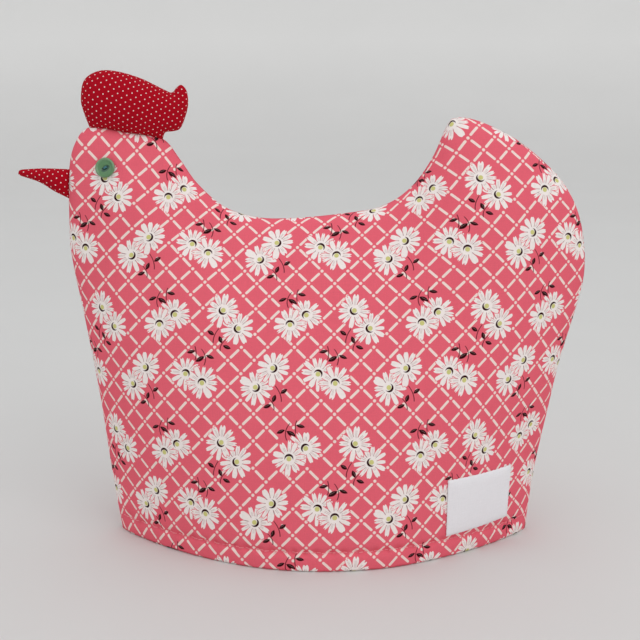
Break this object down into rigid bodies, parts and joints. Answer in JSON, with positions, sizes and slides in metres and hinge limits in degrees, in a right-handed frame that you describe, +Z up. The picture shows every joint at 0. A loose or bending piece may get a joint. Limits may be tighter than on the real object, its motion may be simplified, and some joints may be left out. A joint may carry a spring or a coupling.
{
  "type": "tea cosy",
  "caption": "Padded cotton tea cosy in the outline of a hen, open at the hem, with a stuffed comb and beak, button eyes and a plain tape tab.",
  "frame": {"origin": "centre of the bounding box at the level of the hem", "axes": "+X from the beak to the tail, +Y from the front panel to the back panel, +Z up"},
  "size_m": [0.3224, 0.1404, 0.2693],
  "materials": {
    "printed_cotton": "plain-woven cotton, rose pink with a pale trellis and daisies",
    "red_spotted_cotton": "plain-woven deep red cotton with white pin dots",
    "green_button": "semi-gloss moss green",
    "label_tape": "white woven cotton tape"
  },
  "bodies": {
    "root": {"front_panel": "printed_cotton", "back_panel": "printed_cotton", "comb": "red_spotted_cotton", "beak": "red_spotted_cotton", "eye_button_front": "green_button", "eye_button_back": "green_button", "label": "label_tape"}
  },
  "joints": []
}
